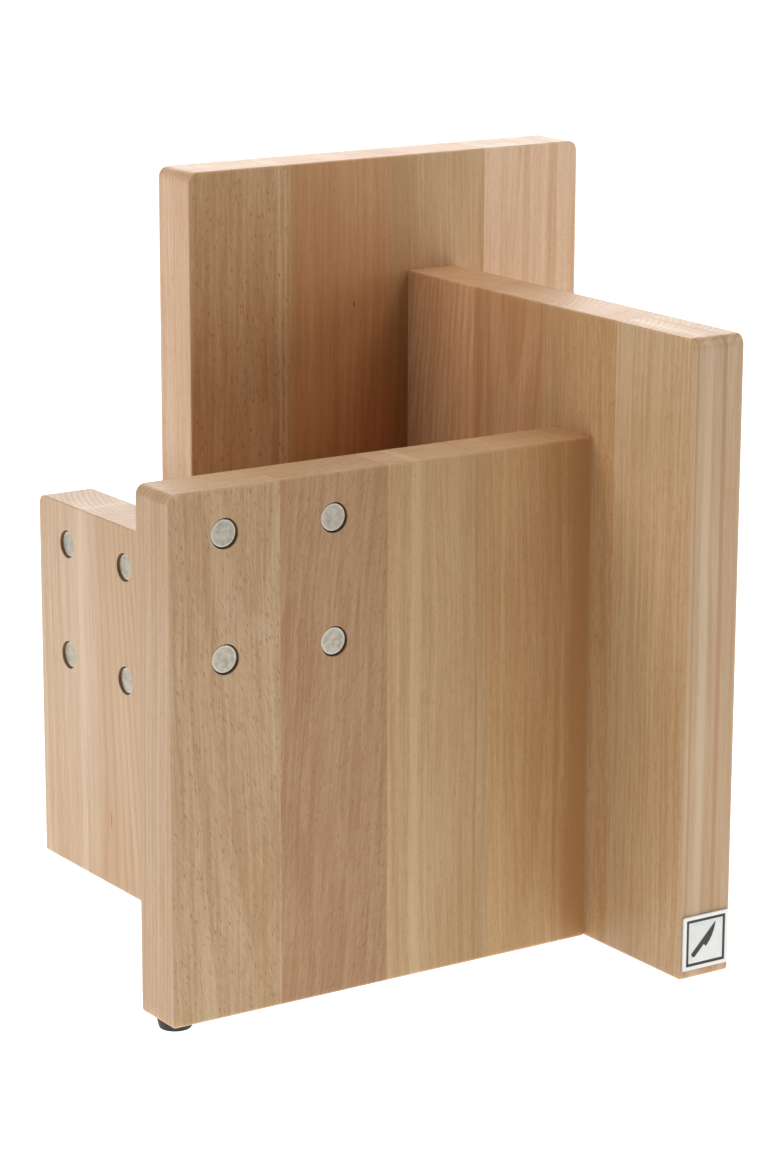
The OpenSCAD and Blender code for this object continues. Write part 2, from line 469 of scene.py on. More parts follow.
class Value:
    """A number, colour or vector that changes over a surface: the output socket of a node. Sums with
    it add Math nodes to its finish."""

    def __init__(self, finish, socket):
        self.finish, self.socket = finish, socket

    def __add__(self, other):
        return self.finish.math("ADD", self, other)

    def __radd__(self, other):
        return self.finish.math("ADD", other, self)

    def __sub__(self, other):
        return self.finish.math("SUBTRACT", self, other)

    def __rsub__(self, other):
        return self.finish.math("SUBTRACT", other, self)

    def __mul__(self, other):
        return self.finish.math("MULTIPLY", self, other)

    def __rmul__(self, other):
        return self.finish.math("MULTIPLY", other, self)

    def __truediv__(self, other):
        return self.finish.math("DIVIDE", self, other)

    def root(self):
        return self.finish.math("SQRT", self)

    def magnitude(self):
        return self.finish.math("ABSOLUTE", self)

    def larger(self, other):
        return self.finish.math("MAXIMUM", self, other)

    def fraction(self):
        return self.finish.math("FRACT", self)

    def rise(self, low, high):
        """0 below low, 1 above high and a smooth step between; falls instead if low is over high."""
        if low > high:
            return 1 - self.rise(high, low)
        settings = {"interpolation_type": "SMOOTHSTEP"}
        inputs = {"Value": self, "From Min": low, "From Max": high}
        return self.finish.node("ShaderNodeMapRange", settings, inputs)


class Finish:
    """A material under construction."""

    def __init__(self, name):
        self.material = bpy.data.materials.new(name)
        self.material.use_nodes = True
        self.tree = self.material.node_tree
        self.tree.nodes.clear()

    def node(self, kind, settings=(), inputs=(), output=0):
        """Adds a node: its settings are set first, then its sockets get numbers or links."""
        made = self.tree.nodes.new(kind)
        for name, value in dict(settings).items():
            setattr(made, name, value)
        for name, value in dict(inputs).items():
            if isinstance(value, Value):
                self.tree.links.new(value.socket, made.inputs[name])
            else:
                made.inputs[name].default_value = value
        return None if output is None else Value(self, made.outputs[output])

    def math(self, operation, *numbers):
        return self.node("ShaderNodeMath", {"operation": operation}, dict(enumerate(numbers)))

    def split(self, vector):
        """The three numbers in a vector or colour."""
        parts = self.node("ShaderNodeSeparateXYZ", {}, {"Vector": vector})
        return [Value(self, socket) for socket in parts.socket.node.outputs]

    def vector(self, x, y, z):
        return self.node("ShaderNodeCombineXYZ", {}, {"X": x, "Y": y, "Z": z})

    def millimetres(self, offset=(0, 0, 0), turn=0.0):
        """Place on the object in millimetres, turned about Z and then moved by offset."""
        return self.split(self.node("ShaderNodeMapping", {"vector_type": "POINT"}, {
            "Vector": self.node("ShaderNodeTexCoord", output="Object"),
            "Location": offset, "Rotation": (0, 0, turn), "Scale": (1 / MM, 1 / MM, 1 / MM),
        }))

    def mark(self, word):
        """A number that the mesh carries for each of its points."""
        return self.node("ShaderNodeAttribute", {"attribute_name": word}, output="Fac")

    def noise(self, vector, detail=2.0, rough=0.5):
        """Cloudy noise about 0, mostly between -0.3 and 0.3, with features one unit of vector across."""
        inputs = {"Vector": vector, "Scale": 1.0, "Detail": detail, "Roughness": rough}
        return self.node("ShaderNodeTexNoise", {}, inputs) - 0.5

    def blend(self, share, first, second, kind="MIX"):
        """Mixes two colours."""
        settings = {"data_type": "RGBA", "blend_type": kind}
        return self.node("ShaderNodeMix", settings, {0: share, 6: first, 7: second}, output=2)

    def bump(self, height, depth):
        return self.node("ShaderNodeBump", {}, {"Height": height, "Distance": depth})

    def finished(self, **sockets):
        """Connects the surface shader: names with underscores stand for the shader's sockets."""
        inputs = {name.replace("_", " "): value for name, value in sockets.items()}
        shader = self.node("ShaderNodeBsdfPrincipled", {}, inputs)
        self.node("ShaderNodeOutputMaterial", {}, {"Surface": shader}, output=None)
        return self.material


def rgb(red, green, blue):
    return (red, green, blue, 1.0)


def times(colour, factors):
    """A colour with each of its three parts multiplied."""
    return rgb(*(c * f for c, f in zip(colour, factors)))


# What a stave's colour is multiplied by in its palest and darkest grain, in its ray flecks and on its
# arrises, where the paler colour is partly wear and partly a painted highlight
PALE_GRAIN = (1.15, 1.24, 1.36)
DARK_GRAIN = (0.86, 0.75, 0.63)
FLECK = (0.62, 0.38, 0.21)
WORN_ARRIS_AND_HIGHLIGHT = (1.2, 1.25, 1.3)
KNOT_BROWN = rgb(0.30, 0.11, 0.04)
# Darker brown in the magnet bores: painted shade in the recess, partly the rough drilled wood
BORE_SHADE_BROWN = rgb(0.20, 0.10, 0.05)
# Width of a growth ring, in mm
RING = 2.6
# How strong a growth ring's dark line is in a stave that RINGS doesn't name
FAINT_RING = 0.16


def beech(name, board, number, grain):
    """Steamed beech, fine sanded and oiled, as a solid pattern in the board's own frame in millimetres.
    Growth rings are circles about a pith that stands outside the stave and leans with the grain. Rays
    are thin across the rings' tangent, a few millimetres tall and long towards the pith, so they show
    as short dark flecks on the faces and as fine lines on the end grain."""
    colour, foot, pith_x, pith_y, lean, spiral, dive, fleck_mm, flecks, seed = grain
    wood = Finish(name)
    centre = np.array([(number + 0.5) * board.stave, 0, board.height / 2])
    offset = -(board.origin @ board.turned + centre) / MM
    across, through, up = wood.millimetres(offset, -board.turn)
    sway = wood.noise(wood.vector(across / 55 + seed, through / 55, up / 130), detail=1.0)
    drift = wood.noise(wood.vector(across / 40, through / 40 + seed, up / 85), detail=2.0)
    x = across + up * lean + sway * 8 - pith_x
    y = through + up * dive + drift * 4 - pith_y
    reach = math.hypot(pith_x, pith_y)
    radius = (x * x + y * y).root()
    around = wood.math("ARCTAN2", x, 0 - y) * reach
    fibres = around + up * spiral

    rings = (radius / RING + drift * 1.6 + seed).fraction()
    late = rings.rise(0.4, 0.93) * rings.rise(1.0, 0.95)
    bands = wood.noise(wood.vector(radius / 4.2 + seed, up / 300, around / 50), detail=3.0, rough=0.65)
    cloud = wood.noise(wood.vector(x / 30, y / 30 + seed, up / 110), detail=2.0)
    fibre = wood.noise(wood.vector(fibres / 0.42, up / 6.0, radius / 1.2 + seed), detail=2.0, rough=0.7)
    streak = wood.noise(wood.vector(around / 1.3 + seed, up / 70, radius / 2.2), detail=3.0, rough=0.7)

    def rays(wide, tall, long, core, rim, least, start):
        """Rays of one size (mm): each is dark within core of its cell's centre and fades out at rim,
        and a cell whose own random number is under least has none."""
        place = wood.vector(fibres / wide + start, up / tall + seed, radius / long)
        cell = wood.node("ShaderNodeTexVoronoi", {}, {"Vector": place, "Scale": 1.0})
        hue = Value(wood, cell.socket.node.outputs["Color"])
        return cell.rise(rim, core) * wood.split(hue)[0].rise(least, 0.9)

    cut, end, arris, bored = (wood.mark(word) for word in ("cut", "end", "arris", "bored"))
    bold = rays(fleck_mm * 0.30, fleck_mm * 1.5, 9, 0.12, 0.31, 0.2, 3.0)
    small = rays(fleck_mm * 0.17, fleck_mm * 0.8, 5, 0.12, 0.34, 0.1, 17.0)
    fleck = (bold * flecks + small * (0.25 + 0.25 * flecks)) * (1 - end * 0.75)

    stave = (board.side, number + 1)
    ringed = RINGS.get(stave, FAINT_RING)
    lined = LINED.get(stave, 1.0)
    shade = (0.5 + bands * 1.25 + cloud * 0.7 + late * (ringed + cut * 0.4)
             + (streak * 2.3 * (1 - cut * 0.6) + fibre * 1.5) * (1 - end * 0.5) * lined)
    # Growth lines, and bands of painted shade by the joints
    for axis, place, half, depth in GRAIN_LINES_AND_SHADE_BANDS.get(stave, ()):
        off = (across + sway * 3 if axis == "x" else through + sway) + fibre * 0.4 - place
        shade = shade + off.magnitude().rise(half, half * 0.35) * depth
    tint = wood.blend(shade.rise(-0.35, 1.35), times(colour, PALE_GRAIN), times(colour, DARK_GRAIN))
    tint = wood.blend(fleck * 0.85, tint, times(colour, FLECK))
    for knot_x, knot_z, wide, tall in KNOTS.get(stave, ()):
        u, v = (across + fibre * 0.5 - knot_x) / wide, (up - knot_z) / tall
        tint = wood.blend((u * u + v * v).rise(1.0, 0.3) * 0.8, tint, KNOT_BROWN)

    # Painted light and shade: the stave's change from its foot to its head (paler foot for light from the
    # floor, redder foot for bounce light in the well), then the board's own inner face (redder for bounce
    # light in the well), ends, and cuts (paler for painted light from above)
    head = tuple(2 - c for c in foot)
    cast = wood.blend(0.5 - up / (board.height / MM), rgb(*head), rgb(*foot))
    # Painted bounce light: the inner face that looks into the well is redder and carries the foot change;
    # the outer face stays even
    if board.side in INNER_WELL_BOUNCE:
        inner = wood.blend(1.0, cast, rgb(*INNER_WELL_BOUNCE[board.side]), "MULTIPLY")
        cast = wood.blend(through / (board.thickness / MM), rgb(*EVEN), inner)
    cast = wood.blend(end, cast, rgb(*(e / c for e, c in zip(ENDS[board.side], colour))))
    # Tops and bottoms paler: painted light from above and painted sheen
    cast = wood.blend(cut, cast, rgb(*(0.45 + 0.62 * t / c for t, c in zip(TOP_LIT_PALE, colour))))
    tint = wood.blend(1.0, tint, cast, "MULTIPLY")
    # Arrises paler: partly wear, partly a painted highlight where the rounded edges catch the light
    tint = wood.blend(arris * 0.5, tint, times(colour, WORN_ARRIS_AND_HIGHLIGHT))
    # Bore walls darker: painted shade in the bores, partly the rough drilled wood
    tint = wood.blend(bored * 0.7, tint, BORE_SHADE_BROWN)

    rough = 0.44 + fibre * 0.25 + cloud * 0.12 - fleck * 0.05 + bored * 0.3 + cut * 0.02
    height = fibre * 0.6 + streak * 0.4 - fleck * 0.35 + late * 0.15
    return wood.finished(Base_Color=tint, Roughness=rough, Normal=wood.bump(height, 0.010 * MM),
                         IOR=1.47)


def nickel(name, centre, radius, facing):
    """Nickel plate on a disc magnet: a painted highlight on the rim (a paler colour, with a smoother
    finish) round a duller face with cloudy handling marks, tiny pits and fine scratches. centre is the
    disc's centre in the block's frame, so that each disc differs, and facing is the axis its face looks
    along."""
    metal = Finish(name)
    x, y, z = metal.millimetres([-v / MM for v in centre])
    seed = (centre[0] * 3.1 + centre[1] * 5.3 + centre[2] * 7.7) / MM
    flat = y if facing == "x" else x
    away = (flat * flat + z * z).root() / (radius / MM)
    cloud = metal.noise(metal.vector(x / 2.4 + seed, y / 2.4, z / 2.4), detail=4.0, rough=0.6)
    grain = metal.noise(metal.vector(x / 0.12, y / 0.12 + seed, z / 0.12), detail=1.0)
    speck = metal.noise(metal.vector(x / 0.35, y / 0.35 + seed, z / 0.35), detail=2.0)
    pit_place = metal.vector(x / 1.6 + seed, y / 1.6, z / 1.6)
    pits = metal.node("ShaderNodeTexVoronoi", {}, {"Vector": pit_place, "Scale": 1.0}).rise(0.2, 0.08)
    scratch = metal.noise(metal.vector(x / 4 + z / 3 + seed, y / 4, z / 0.1 - x / 0.18), detail=1.0)
    fine = scratch.rise(0.22, 0.3)
    rim = (away + cloud * 0.08).rise(0.76, 0.90)
    smudge = (cloud + speck * 0.35).rise(-0.12, 0.22) * (1 - rim * 0.8)
    colour = metal.blend(smudge * 0.75, rgb(0.495, 0.460, 0.388), rgb(0.345, 0.315, 0.262))
    # Painted highlight: a paler colour on the rim, where the rounded edge catches the light
    colour = metal.blend(rim * 0.6, colour, rgb(0.54, 0.515, 0.455))
    colour = metal.blend(pits * 0.7, colour, rgb(0.22, 0.205, 0.18))
    rough = 0.36 + smudge * 0.16 + grain * 0.15 - fine * 0.08 - rim * 0.08
    height = grain * 0.25 - pits * 0.6 - fine * 0.2 + cloud * 0.15
    return metal.finished(Base_Color=colour, Metallic=1.0, Roughness=rough,
                          Normal=metal.bump(height, 0.02 * MM))


def rubber():
    """Black moulded rubber: fine matt grain and a little pale dust."""
    foot = Finish("black_rubber")
    x, y, z = foot.millimetres()
    grain = foot.noise(foot.vector(x / 0.25, y / 0.25, z / 0.25))
    dust = foot.noise(foot.vector(x / 2.5, y / 2.5, z / 2.5), detail=3.0)
    colour = foot.blend(dust.rise(0.02, 0.35) * 0.4, rgb(0.013, 0.012, 0.013), rgb(0.042, 0.040, 0.039))
    return foot.finished(Base_Color=colour, Roughness=0.55 + grain * 0.3,
                         Normal=foot.bump(grain, 0.03 * MM), IOR=1.52)


def dowel_wood():
    """Raw beech rod: fine streaks along the rod."""
    rod = Finish("dowel_beech")
    x, y, z = rod.millimetres()
    streak = rod.noise(rod.vector(x / 2, y / 2, z / 0.4), detail=3.0)
    colour = rod.blend(streak.rise(-0.3, 0.3), rgb(0.60, 0.42, 0.28), rgb(0.42, 0.27, 0.16))
    return rod.finished(Base_Color=colour, Roughness=0.7 + streak * 0.2,
                        Normal=rod.bump(streak, 0.05 * MM))


def badge_metal(centre, half_field):
    """Pale anodised plate: a smooth border, and a blasted field inside the frame line. centre is the
    plate's centre in the block's frame, and half_field is half the field's width."""
    plate = Finish("badge_metal")
    x, y, z = plate.millimetres()
    off = (x - centre[0] / MM).magnitude().larger((z - centre[2] / MM).magnitude())
    field = off.rise(half_field / MM, half_field / MM - 0.2)
    blast = plate.noise(plate.vector(x / 0.3, y / 0.3, z / 0.3), rough=0.7)
    cloud = plate.noise(plate.vector(x / 4, y / 4, z / 4))
    mottle = (blast + cloud * 0.6).rise(-0.25, 0.4) * field
    colour = plate.blend(mottle * 0.55, rgb(0.76, 0.77, 0.735), rgb(0.56, 0.595, 0.585))
    rough = 0.34 + field * 0.12 + blast * 0.2
    return plate.finished(Base_Color=colour, Metallic=0.55, Roughness=rough,
                          Normal=plate.bump(blast * field, 0.04 * MM))


def badge_enamel():
    """Near-black enamel: glossy, with a faint orange-peel."""
    enamel = Finish("badge_enamel")
    x, y, z = enamel.millimetres()
    peel = enamel.noise(enamel.vector(x / 0.5, y / 0.5, z / 0.5))
    colour = enamel.blend(peel.rise(-0.3, 0.3), rgb(0.014, 0.016, 0.018), rgb(0.024, 0.027, 0.030))
    return enamel.finished(Base_Color=colour, Roughness=0.32 + peel * 0.15,
                           Normal=enamel.bump(peel, 0.02 * MM))


# ---------------------------------------------------------------- pieces

# Grain of each stave, from the free end to the glued end: its colour, what the colour is multiplied by
# at its foot (the top gets the opposite; painted light and shade, paler at the foot for light from the
# floor and redder for bounce light in the well), the pith's place across and behind the outer face
# (mm), the lean of the growth bands and of the fibres across them, the dive of the grain, length of
# the ray flecks (mm), their strength and a seed
EVEN = (1.0, 1.0, 1.0)
# Painted light at the foot: paler where light is thrown up from the floor, and (on the back board's inner
# face) redder where reddish bounce light fills the well
FLOOR_LIT_FOOT = (1.03, 1.05, 1.06)
WELL_LIT_RED_FOOT = (1.14, 0.94, 0.78)
GRAINS = {
    "front": (
        ((0.540, 0.358, 0.197), FLOOR_LIT_FOOT, 14, 85, 0.01, 0.30, 0.02, 3.2, 1.00, 1.7),
        ((0.460, 0.264, 0.129), EVEN, -20, 70, -0.08, -0.30, -0.03, 2.6, 0.85, 12.3),
        ((0.575, 0.374, 0.188), FLOOR_LIT_FOOT, 34, 120, 0.01, 0.02, 0.00, 1.9, 0.60, 23.9),
        ((0.590, 0.357, 0.161), (1.06, 1.09, 1.11), -8, 95, 0.02, -0.03, 0.01, 1.9, 0.60, 31.1),
    ),
    "right": (
        ((0.542, 0.362, 0.196), (0.97, 0.96, 0.95), 60, 60, 0.01, 0.02, 0.00, 1.8, 0.45, 41.3),
        ((0.532, 0.321, 0.153), (1.06, 1.10, 1.14), 45, 40, -0.02, 0.02, 0.01, 1.9, 0.45, 52.8),
        ((0.530, 0.286, 0.134), EVEN, 0, 90, 0.03, 0.04, 0.02, 2.2, 0.50, 63.7),
        ((0.650, 0.365, 0.184), EVEN, -26, 66, 0.12, 0.02, 0.04, 2.4, 0.45, 71.9),
    ),
    "back": (
        ((0.696, 0.535, 0.388), EVEN, 20, 100, 0.01, 0.02, 0.01, 2.0, 0.60, 84.2),
        ((0.615, 0.368, 0.188), WELL_LIT_RED_FOOT, -14, 80, -0.02, -0.04, 0.01, 2.2, 0.65, 93.4),
        ((0.592, 0.294, 0.126), WELL_LIT_RED_FOOT, 50, 70, 0.02, 0.02, -0.01, 1.8, 0.25, 104.6),
        ((0.614, 0.354, 0.180), WELL_LIT_RED_FOOT, 6, -70, 0.02, 0.08, 0.01, 3.0, 0.95, 113.3),
    ),
    "left": (
        ((0.590, 0.413, 0.264), EVEN, 36, 110, 0.01, 0.02, 0.01, 2.0, 0.20, 124.5),
        ((0.560, 0.374, 0.224), EVEN, -50, 80, 0.16, 0.02, 0.05, 2.0, 0.15, 135.8),
        ((0.560, 0.360, 0.190), EVEN, 8, 90, 0.02, 0.04, 0.00, 2.4, 0.60, 147.1),
        ((0.520, 0.310, 0.160), EVEN, -20, 74, -0.03, 0.05, 0.02, 2.6, 0.70, 158.9),
    ),
}
# How strong the dark line of each growth ring is, where it is not faint
RINGS = {("right", 4): 0.45, ("right", 3): 0.45, ("left", 2): 0.4, ("front", 1): 0.3}
# How strong the fine lines along the grain are, where they differ
LINED = {
    ("front", 1): 1.1, ("front", 2): 1.2, ("front", 3): 0.75, ("front", 4): 0.85, ("right", 1): 0.9,
    ("back", 1): 0.55, ("back", 3): 0.65, ("back", 2): 0.85, ("left", 1): 0.7, ("left", 2): 0.3,
}
# Colour that the tops and bottoms of all the staves tend to: paler, as painted light from above and
# painted sheen on the cut end grain
TOP_LIT_PALE = (0.66, 0.43, 0.245)
# What a board's colour is multiplied by on its inner face, with the staves' change towards the foot:
# painted bounce light, redder on the face that looks into the well
INNER_WELL_BOUNCE = {"back": (1.12, 1.0, 0.89)}
# Colour of each board's upright end faces
ENDS = {
    "front": (0.510, 0.340, 0.199), "right": (0.562, 0.388, 0.234),
    "back": (0.690, 0.467, 0.305), "left": (0.580, 0.400, 0.250),
}
# Growth lines that stand out in a stave, and wide bands of painted shade by the joints: across ("x", from
# the stave's middle) or through the board ("y", from the outer face), the place and half width in mm, and
# how much darker (paler below 0)
GRAIN_LINES_AND_SHADE_BANDS = {
    ("front", 3): (("x", -11, 3.5, -0.55), ("x", 18, 1.2, 0.4)),
    # Its last band, 15 mm each side of the glued end, is painted shade in the corner with the right board
    ("front", 4): (("x", 9, 2.0, 0.4), ("x", -19, 1.5, -0.25), ("x", 25, 15, 1.0)),
    ("right", 1): (("y", 9, 1.3, 1.4), ("y", 22.6, 0.7, 1.0), ("y", 17, 3.0, -0.5)),
    ("back", 4): (("x", -19.0, 0.8, -0.9), ("x", -22.0, 0.7, -0.9)),
    # A wide band of painted shade by the corner with the right board's glued end, in the well
    ("back", 2): (("x", 25, 18, 0.6),),
    ("back", 1): (("x", -12, 3.5, 0.3), ("x", 2, 2.5, 0.3), ("x", 14, 3.0, 0.25)),
    ("left", 1): (("x", 12, 3.0, -0.4),),
}
# Small knots: place across and above the stave's middle and half sizes, in mm
KNOTS = {("back", 3): ((-7, 95, 0.7, 1.6),), ("left", 2): ((-14, -52, 0.5, 4.0),)}

boards = {side: Board(side) for side in SIDES}
# A glued end that is higher than the next board stands open above it
for side, after in zip(SIDES, SIDES[1:] + SIDES[:1]):
    boards[side].open_end = boards[side].height > boards[after].height + MM


def magnet_profile(radius, thickness):
    """Half outline of a magnet, from the back's centre to the front's: rounded rims, and a front that
    is a hair hollow inside a raised rim."""
    return rounded_profile([
        (0, 0, 0), (radius, 0, 0.35 * MM), (radius, thickness, 0.38 * MM),
        (radius * 0.86, thickness - 0.03 * MM, 0.6 * MM), (0, thickness - 0.05 * MM, 0),
    ])


def foot_profile(radius, tip_radius, height):
    """Half outline of a foot, from its bottom's centre to the centre of its glued face: a shallow
    hollow underneath, a rounded lower rim and a slight flare."""
    return rounded_profile([
        (0, 0.35 * MM, 0), (tip_radius * 0.62, 0.35 * MM, 1.0 * MM), (tip_radius * 0.74, 0, 0.8 * MM),
        (tip_radius, 0, 0.7 * MM), (radius - 0.25 * MM, height * 0.82, 0.5 * MM),
        (radius - 0.1 * MM, height, 0.1 * MM), (0, height, 0),
    ])


DOWEL_CHAMFER = 0.8 * MM
FLUTES = 18
FLUTE_DEPTH = 0.22 * MM
# The flat of a foot is this much smaller all round than its glued face
FOOT_FLARE = 1.0 * MM


def fluted_rod(radius, length):
    """A dowel rod along Z from 0: chamfered ends, and flutes whose depth is a squared raised cosine of
    the angle, repeated FLUTES times a turn."""
    neck = radius - DOWEL_CHAMFER
    rod, quads = turned(rounded_profile([
        (0, 0, 0), (neck, 0, 0.1 * MM), (radius, DOWEL_CHAMFER, 0.1 * MM),
        (radius, length - DOWEL_CHAMFER, 0.1 * MM), (neck, length, 0.1 * MM), (0, length, 0),
    ], steps=3), count=FLUTES * 8)
    angle = np.arctan2(rod[:, 1], rod[:, 0])
    away = np.hypot(rod[:, 0], rod[:, 1])
    dip = FLUTE_DEPTH * (0.5 - 0.5 * np.cos(FLUTES * angle)) ** 2 * (away > radius * 0.7)
    rod[:, :2] *= (1 - dip / np.maximum(away, MM))[:, None]
    return rod, quads


def make_stave(side, board, number):
    name = f"beech_{side}_{number + 1}"
    bores = magnet_bores(board, number) + dowel_bores(board, number)
    marks = {
        "arris": arris_rule(board), "bored": bored_rule(board, bores),
        "end": end_rule(board), "cut": cut_rule(board),
    }
    finish = beech(name, board, number, GRAINS[side][number])
    make_piece(name, stave_patches(board, number, bores), [f"{side}_stave_{number + 1}"],
               finish, board.to_block, marks=marks)


def make_magnet(side, board, number):
    node = f"{side}_magnet_{number}"
    low, high = board.node_box(node)
    middle = (low + high) / 2
    radius = (high[0] - low[0]) / 2
    shape, quads = turned(magnet_profile(radius, high[1] - low[1]))
    # The disc's axis runs from the bore's bottom out of the face
    shape = np.stack([middle[0] + shape[:, 0], high[1] - shape[:, 2], middle[2] + shape[:, 1]], axis=1)
    facing = "y" if side in ("front", "back") else "x"
    finish = nickel(f"nickel_{side}_{number}", board.to_block(middle), radius, facing)
    make_piece(f"disc_{side}_{number}", [(shape, quads)], [node], finish, board.to_block)


def make_dowels(side, board, finish):
    node = f"{side}_joint_dowels"
    low, high, radius, heights = dowel_axes(board, node)
    rod, quads = fluted_rod(radius, high[0] - low[0])
    rods = []
    for h in heights:
        places = [low[0] + rod[:, 2], board.thickness / 2 + rod[:, 0], h + rod[:, 1]]
        rods.append((np.stack(places, axis=1), quads))
    make_piece(f"dowels_{side}", rods, [node], finish, board.to_block, sharp_over=50)


def make_foot(side, finish):
    node = f"{side}_foot"
    low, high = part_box(node)
    radius = (high.x - low.x) / 2
    shape, quads = turned(foot_profile(radius, radius - FOOT_FLARE, high.z - low.z))
    shape = shape + [(low.x + high.x) / 2, (low.y + high.y) / 2, low.z]
    make_piece(f"pad_{side}", [(shape, quads)], [node], finish)


dowel_finish = dowel_wood()
rubber_finish = rubber()
for side, board in boards.items():
    for number in range(STAVES):
        make_stave(side, board, number)
for side, board in boards.items():
    for number in range(MAGNETS):
        make_magnet(side, board, number + 1)
for side, board in boards.items():
    make_dowels(side, board, dowel_finish)
for side in SIDES:
    make_foot(side, rubber_finish)


# ---------------------------------------------------------------- badge

badge_low, badge_high = (np.array(corner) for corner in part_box("badge_plate"))
badge_centre = (badge_low + badge_high) / 2
BADGE_HALF = (badge_high[0] - badge_low[0]) / 2
BADGE_T = badge_high[1] - badge_low[1]
BADGE_CORNER_R = 0.6 * MM
# The frame line's distance from the plate's edge, its width, its groove's depth, the gap beside the
# enamel, and how far below the plate's border the field and the enamel lie
FRAME_MARGIN = 1.6 * MM
FRAME_LINE = 1.2 * MM
GROOVE = 0.3 * MM
ENAMEL_GAP = 0.02 * MM
FIELD_DEPTH = 0.08 * MM
ENAMEL_DROP = 0.03 * MM


def square_path(inset, corner=5):
    """A square outline, drawn in by inset from the plate's edge, with slightly rounded corners: the
    corner radius shrinks with the square. Returns (len(inset), points, 2), closed."""
    inset = np.atleast_1d(inset)[:, None]
    half = BADGE_HALF - inset
    radius = np.maximum(BADGE_CORNER_R - inset, 0.02 * half)
    angles = np.radians(np.concatenate([q * 90 + np.linspace(0, 90, corner + 1) for q in range(4)]))
    sign_u = np.repeat([1, -1, -1, 1], corner + 1)
    sign_v = np.repeat([1, 1, -1, -1], corner + 1)
    u = sign_u * (half - radius) + radius * np.cos(angles)
    v = sign_v * (half - radius) + radius * np.sin(angles)
    ring = np.stack([u, v], axis=-1)
    return np.concatenate([ring, ring[:, :1]], axis=1)


def on_badge(flat, height):
    """From the badge's face (right, up) and height above its back to the block's frame."""
    u, v = flat[..., 0], flat[..., 1]
    height = np.broadcast_to(height, u.shape)
    return np.stack([badge_centre[0] + u, badge_high[1] - height, badge_centre[2] + v], axis=-1)


def square_shell(profile):
    """A profile of (inset, height) carried round the square outline."""
    profile = np.asarray(profile)
    return grid_patch(on_badge(square_path(profile[:, 0]), profile[:, 1:]))


groove_floor = BADGE_T - GROOVE
line_end = FRAME_MARGIN + FRAME_LINE
plate_profile = rounded_profile([
    (BADGE_HALF, 0, 0), (0, 0, 0.05 * MM), (0, BADGE_T, 0.22 * MM),
    (FRAME_MARGIN, BADGE_T, 0.06 * MM), (FRAME_MARGIN + 2 * ENAMEL_GAP, groove_floor, 0),
    (line_end - 2 * ENAMEL_GAP, groove_floor, 0),
    (line_end, BADGE_T - FIELD_DEPTH, 0.05 * MM), (BADGE_HALF, BADGE_T - FIELD_DEPTH, 0),
], steps=4)
make_piece("badge_face", [square_shell(plate_profile)], ["badge_plate"],
           badge_metal(badge_centre, BADGE_HALF - FRAME_MARGIN))

enamel_top = BADGE_T - ENAMEL_DROP
line_low, line_high = FRAME_MARGIN + ENAMEL_GAP, line_end - ENAMEL_GAP
frame_profile = rounded_profile([
    (line_low, groove_floor, 0), (line_low, enamel_top, 0.04 * MM),
    ((line_low + line_high) / 2, enamel_top - 0.02 * MM, 0.3 * MM),
    (line_high, enamel_top, 0.04 * MM), (line_high, groove_floor, 0), (line_low, groove_floor, 0),
], steps=3)

BLADE_LEN = 10.5 * MM
BLADE_W = 3.8 * MM
HANDLE_LEN = 7.5 * MM
HANDLE_W = 2.3 * MM
HANDLE_END_R = 0.9 * MM
HANDLE_LAP = 0.3 * MM
MARK_SOFT = 0.06 * MM


def knife_mark():
    """A plain knife that lies on the badge's diagonal, as a strip: along its length the back is
    straight, the blade's belly is an arc, and the handle has parallel sides with rounded ends. The
    strip is a closed slab whose top edge is softened."""
    butt = HANDLE_LAP - HANDLE_LEN
    bend = np.sin(np.linspace(-np.pi / 2, np.pi / 2, 60)) * 0.5 + 0.5
    handle_x = butt * (1 - bend)
    blade_x = BLADE_LEN * np.sin(np.linspace(0, np.pi / 2, 60))
    belly_r = (BLADE_LEN**2 + BLADE_W**2) / (2 * BLADE_W)
    from_end = np.minimum(handle_x - butt, HANDLE_END_R)
    cut = HANDLE_END_R - np.sqrt(np.maximum(HANDLE_END_R**2 - (HANDLE_END_R - from_end) ** 2, 0))
    belly = belly_r - BLADE_W - np.sqrt(belly_r**2 - blade_x**2)
    x = np.concatenate([handle_x, blade_x])
    top = np.concatenate([-cut, np.zeros(len(blade_x))])
    low = np.concatenate([-HANDLE_W + cut, belly])
    middle, half = (top + low) / 2, (top - low) / 2
    # The slab's section: shares of the half width, and heights above the plate's back
    section = (
        (0, groove_floor), (1, groove_floor), (1, enamel_top - MARK_SOFT), (0.985, enamel_top),
        (0, enamel_top),
    )
    up = [(middle + half * share, height) for share, height in section]
    down = [(middle - half * share, height) for share, height in section[::-1]]
    ring = up + down[1:]
    along = x - (butt + BLADE_LEN) / 2
    flat = np.stack([np.stack([along, y + BLADE_W / 2], axis=-1) for y, _ in ring])
    height = np.array([h for _, h in ring])[:, None]
    diagonal = np.array([[1, -1], [1, 1]]) * math.sqrt(0.5)
    return grid_patch(on_badge(flat @ diagonal.T, height))


make_piece("badge_marks", [square_shell(frame_profile), knife_mark()], ["badge_inlay"],
           badge_enamel())


# ---------------------------------------------------------------- room

FLOOR_HALF = 9.0
BACKDROP_R = 20.0
# Light of the bounce card close to the block and far from it, and how far each holds (m)
GLOW_NEAR = 1.07
NEAR = 0.3
GLOW_FAR = 0.20
FAR = 2.5
WELL_HALF = 55 * MM
FLOOR_GLOW = 0.90
BACKDROP_GLOW = 1.0
PAPER_GREY = rgb(0.35, 0.35, 0.35)
WORLD_LIGHT = 0.01


